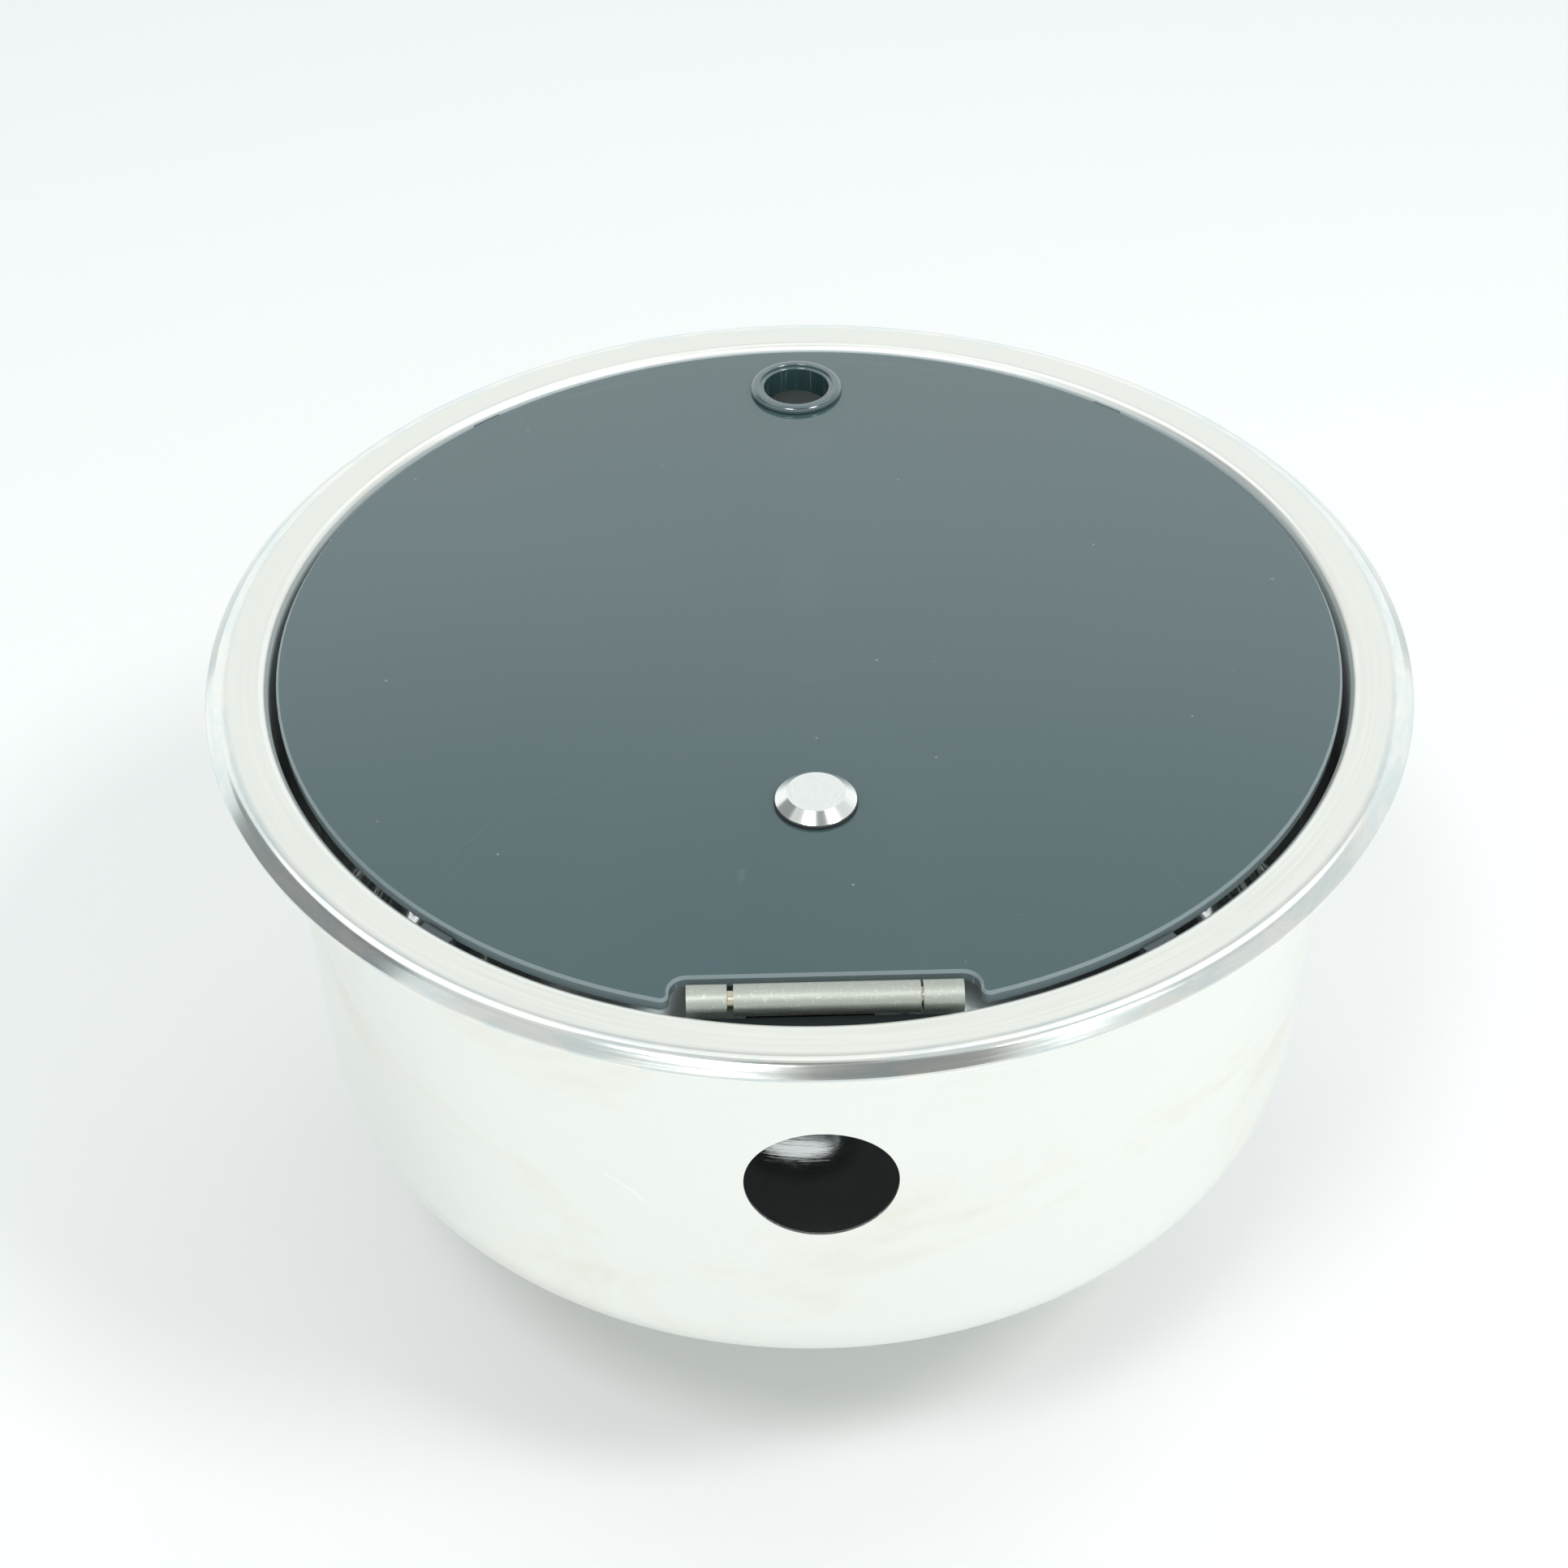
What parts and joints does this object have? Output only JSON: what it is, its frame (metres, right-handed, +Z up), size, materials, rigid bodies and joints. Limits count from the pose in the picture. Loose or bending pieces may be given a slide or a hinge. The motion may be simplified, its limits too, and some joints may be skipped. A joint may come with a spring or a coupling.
{
  "type": "round galley sink with hinged glass lid",
  "caption": "Round drop-in stainless galley sink bowl with a recessed hinged smoked-glass lid, finger hole, side port and bottom waste.",
  "frame": {"origin": "centre of the bowl on the worktop plane, where the lip and the rim's seal rest", "axes": "+Z up out of the worktop, -Y towards the lid's hinge, +X along the hinge pin"},
  "size_m": [0.42, 0.42, 0.2673],
  "materials": {
    "bowl_steel": "satin, finely brushed, faint water stains",
    "hinge_steel": "brushed along the barrel",
    "pin_steel": "ground, slightly warm in tone",
    "polished_steel": "polished with a turned flat",
    "fastener_steel": "bright stainless",
    "smoked_glass": "smoked, polished face, ground edge",
    "ring_plastic": "glossy dark grey",
    "gasket_rubber": "matte black",
    "plug_rubber": "moulded black",
    "bumper_rubber": "grey, moulded, slightly glossy",
    "seal_foam": "closed-cell foam",
    "packer_plastic": "moulded black",
    "waste_plastic": "moulded black, fine texture"
  },
  "bodies": {
    "sink": {"bowl": "bowl_steel", "rim_seal": "seal_foam", "lid_bumpers": "bumper_rubber", "drain_flange": "polished_steel", "drain_gasket_upper": "gasket_rubber", "drain_gasket_lower": "gasket_rubber", "drain_body": "waste_plastic", "drain_screw": "fastener_steel", "hinge_bracket": "hinge_steel", "hinge_pin": "pin_steel", "hinge_saddle": "packer_plastic", "hinge_backing": "packer_plastic", "hinge_screws": "fastener_steel", "hinge_washers": "fastener_steel", "hinge_nuts": "fastener_steel"},
    "lid": {"lid_glass": "smoked_glass", "finger_ring": "ring_plastic", "finger_ring_seal": "gasket_rubber", "finger_ring_nut": "ring_plastic", "clamp_cap": "polished_steel", "clamp_gasket": "gasket_rubber", "clamp_bush": "packer_plastic", "clamp_washer": "fastener_steel", "clamp_nut": "fastener_steel", "hinge_leaf": "hinge_steel", "leaf_pad": "gasket_rubber"},
    "plug": {"drain_plug": "plug_rubber"}
  },
  "joints": [
    {"name": "lid_hinge", "type": "hinge", "parent": "sink", "child": "lid", "pos_m": [0, -0.176, 0.0016], "axis": [1, 0, 0], "range_deg": [0, 92]},
    {"name": "plug_lift", "type": "slide", "parent": "sink", "child": "plug", "axis": [0, 0, 1], "range_m": [0, 0.06]}
  ]
}
